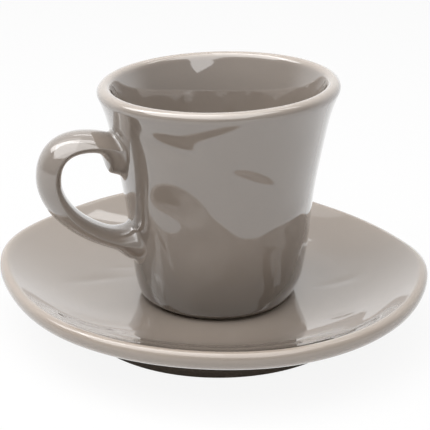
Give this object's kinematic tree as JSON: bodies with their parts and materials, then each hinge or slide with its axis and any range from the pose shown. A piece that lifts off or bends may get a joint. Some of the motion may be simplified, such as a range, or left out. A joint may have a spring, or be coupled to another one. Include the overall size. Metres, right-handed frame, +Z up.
{
  "type": "espresso cup and saucer",
  "caption": "Flared stoneware espresso cup with a loop handle, loose on a wide saucer with an uneven outline, hand-pressed walls and a glossy taupe glaze.",
  "frame": {"origin": "on the table, under the middle of the saucer's outline", "axes": "+Z up along the cup's axis, -X towards the handle, +Y across the handle"},
  "size_m": [0.115, 0.1224, 0.07],
  "materials": {
    "taupe_glaze": "glossy transparent glaze over a taupe body colour",
    "dry_foot": "unglazed, wiped clean for the kiln shelf"
  },
  "bodies": {
    "saucer": {"saucer_dish": "taupe_glaze", "saucer_foot_ring": "dry_foot"},
    "cup": {"cup_body": "taupe_glaze", "cup_foot_ring": "dry_foot", "cup_handle": "taupe_glaze", "handle_upper_slip_joint": "taupe_glaze", "handle_lower_slip_joint": "taupe_glaze"}
  },
  "joints": [
    {"name": "cup_lift", "type": "slide", "parent": "saucer", "child": "cup", "axis": [0, 0, 1], "range_m": [0, 0.12]}
  ]
}
